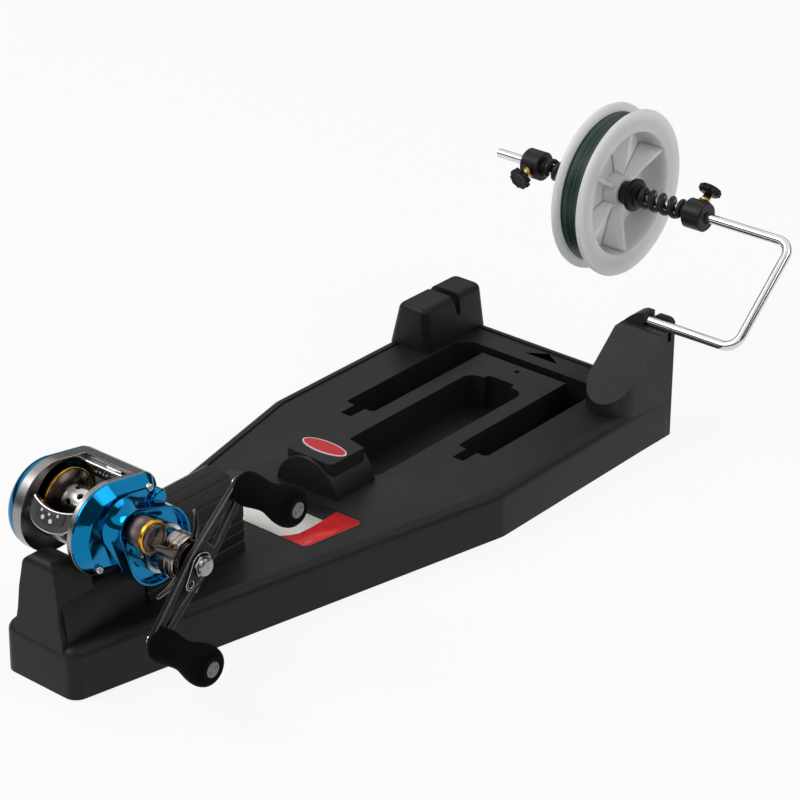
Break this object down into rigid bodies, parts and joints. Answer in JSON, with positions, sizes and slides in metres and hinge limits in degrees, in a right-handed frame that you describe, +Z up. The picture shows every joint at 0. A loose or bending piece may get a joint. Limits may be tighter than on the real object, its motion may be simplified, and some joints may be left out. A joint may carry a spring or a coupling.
{
  "type": "fishing line winder",
  "caption": "Bench-top fishing line winder: black moulded base, blue low-profile reel with crank handle, and a wire arm holding a sprung supply spool.",
  "frame": {"origin": "Centre of the base's flat underside.", "axes": "X runs towards the wire arm's post and the crank, Y from the reel to the supply spool, Z up."},
  "size_m": [0.2195, 0.529, 0.1705],
  "materials": {
    "base_plastic": "fine pebbled texture",
    "foot_rubber": "plain",
    "label_print": "printed plate",
    "badge_red": "printed insert",
    "wire_chrome": "bright plated",
    "black_plastic": "moulded",
    "brass": "turned",
    "black_steel": "blackened spring wire",
    "spool_plastic": "translucent white",
    "line_green": "braided line",
    "frame_silver": "pewter coat",
    "blue_anodised": "glossy metallic blue",
    "bright_steel": "polished",
    "spool_alloy": "anodised with gold rims",
    "gunmetal": "dark bronze coat",
    "gold": "gold anodised",
    "handle_black": "satin with bright bevels",
    "knob_foam": "closed-cell foam",
    "cap_grey": "satin",
    "pad_grey": "soft pad"
  },
  "bodies": {
    "base": {"base_shell": "base_plastic", "rubber_feet": "foot_rubber", "deck_label": "label_print", "pad_badge": "badge_red", "reel_frame": "frame_silver", "palm_cover": "blue_anodised", "gear_cover": "blue_anodised", "gear_plate": "spool_alloy", "plate_screws": "bright_steel", "guide_bar": "bright_steel", "guide_rod": "bright_steel", "spool_bearings": "bright_steel", "collar_ring": "spool_alloy"},
    "clamp": {"reel_clamp": "base_plastic"},
    "arm": {"wire_arm": "wire_chrome"},
    "supply": {"supply_spool": "spool_plastic", "line_core": "line_green", "line_winding": "line_green", "left_cone": "black_plastic", "right_cone": "black_plastic"},
    "right_stop": {"right_collar": "black_plastic", "right_spring": "black_steel"},
    "left_stop": {"left_collar": "black_plastic", "left_spring": "black_steel"},
    "right_screw": {"right_stud": "brass", "right_thumb": "black_plastic"},
    "left_screw": {"left_stud": "brass", "left_thumb": "black_plastic"},
    "handle": {"drive_shaft": "bright_steel", "drive_gear": "brass", "drag_washer": "pad_grey", "handle_arm": "handle_black", "nut_retainer": "spool_alloy", "handle_nut": "bright_steel", "knob_spindles": "bright_steel"},
    "line_spool": {"reel_spool": "spool_alloy", "spool_shaft": "bright_steel", "pinion_gear": "brass"},
    "worm": {"worm_shaft": "spool_alloy", "worm_gear": "black_plastic"},
    "star": {"star_hub": "frame_silver", "star_drag": "gunmetal"},
    "upper_grip": {"upper_knob": "knob_foam", "upper_knob_cap": "cap_grey"},
    "lower_grip": {"lower_knob": "knob_foam", "lower_knob_cap": "cap_grey"},
    "tension": {"tension_cap": "gunmetal", "tension_ring": "gold"},
    "thumb": {"thumb_bar": "frame_silver", "thumb_pad": "pad_grey"},
    "guide": {"line_guide": "gunmetal", "guide_eye": "gold"}
  },
  "joints": [
    {"name": "clamp_slide", "type": "slide", "parent": "base", "child": "clamp", "axis": [0, 1, 0], "range_m": [0, 0.03]},
    {"name": "arm_tilt", "type": "hinge", "parent": "base", "child": "arm", "pos_m": [0, 0.208, 0.072], "axis": [1, 0, 0], "range_deg": [-35, 75]},
    {"name": "supply_spin", "type": "hinge", "parent": "arm", "child": "supply", "pos_m": [0.005, 0.2625, 0.11905], "axis": [1, 0, 0], "continuous": true},
    {"name": "right_stop_slide", "type": "slide", "parent": "arm", "child": "right_stop", "axis": [1, 0, 0], "range_m": [0, 0.03]},
    {"name": "left_stop_slide", "type": "slide", "parent": "arm", "child": "left_stop", "axis": [-1, 0, 0], "range_m": [0, 0.02]},
    {"name": "right_screw_turn", "type": "hinge", "parent": "right_stop", "child": "right_screw", "pos_m": [0.0644, 0.2625, 0.11905], "axis": [0, 0.7096, 0.7046], "range_deg": [-180, 180]},
    {"name": "left_screw_turn", "type": "hinge", "parent": "left_stop", "child": "left_screw", "pos_m": [-0.0556, 0.2625, 0.11905], "axis": [0, -0.9668, -0.2554], "range_deg": [-180, 180]},
    {"name": "handle_spin", "type": "hinge", "parent": "base", "child": "handle", "pos_m": [0, -0.155, 0.0665], "axis": [1, 0, 0], "continuous": true},
    {"name": "line_spool_spin", "type": "hinge", "parent": "base", "child": "line_spool", "pos_m": [0, -0.172, 0.084], "axis": [1, 0, 0], "continuous": true},
    {"name": "worm_spin", "type": "hinge", "parent": "base", "child": "worm", "pos_m": [0, -0.14862, 0.08876], "axis": [1, 0, 0], "continuous": true},
    {"name": "star_turn", "type": "hinge", "parent": "handle", "child": "star", "pos_m": [0, -0.155, 0.0665], "axis": [1, 0, 0], "range_deg": [-360, 360]},
    {"name": "upper_grip_spin", "type": "hinge", "parent": "handle", "child": "upper_grip", "pos_m": [0, -0.12329, 0.09744], "axis": [1, 0, 0], "continuous": true},
    {"name": "lower_grip_spin", "type": "hinge", "parent": "handle", "child": "lower_grip", "pos_m": [0, -0.18671, 0.03556], "axis": [1, 0, 0], "continuous": true},
    {"name": "tension_turn", "type": "hinge", "parent": "base", "child": "tension", "pos_m": [0, -0.172, 0.084], "axis": [1, 0, 0], "range_deg": [-180, 180]},
    {"name": "thumb_press", "type": "slide", "parent": "base", "child": "thumb", "axis": [0, -0.4848, -0.8746], "range_m": [0, 0.004], "stiffness_N_per_m": 800, "springref_m": -0.003},
    {"name": "guide_travel", "type": "slide", "parent": "base", "child": "guide", "axis": [1, 0, 0], "range_m": [-0.008, 0.008]}
  ],
  "couplings": [
    {"joint": "line_spool_spin", "follows": "handle_spin", "ratio": -3.9167},
    {"joint": "worm_spin", "follows": "handle_spin", "ratio": -5.2222}
  ]
}
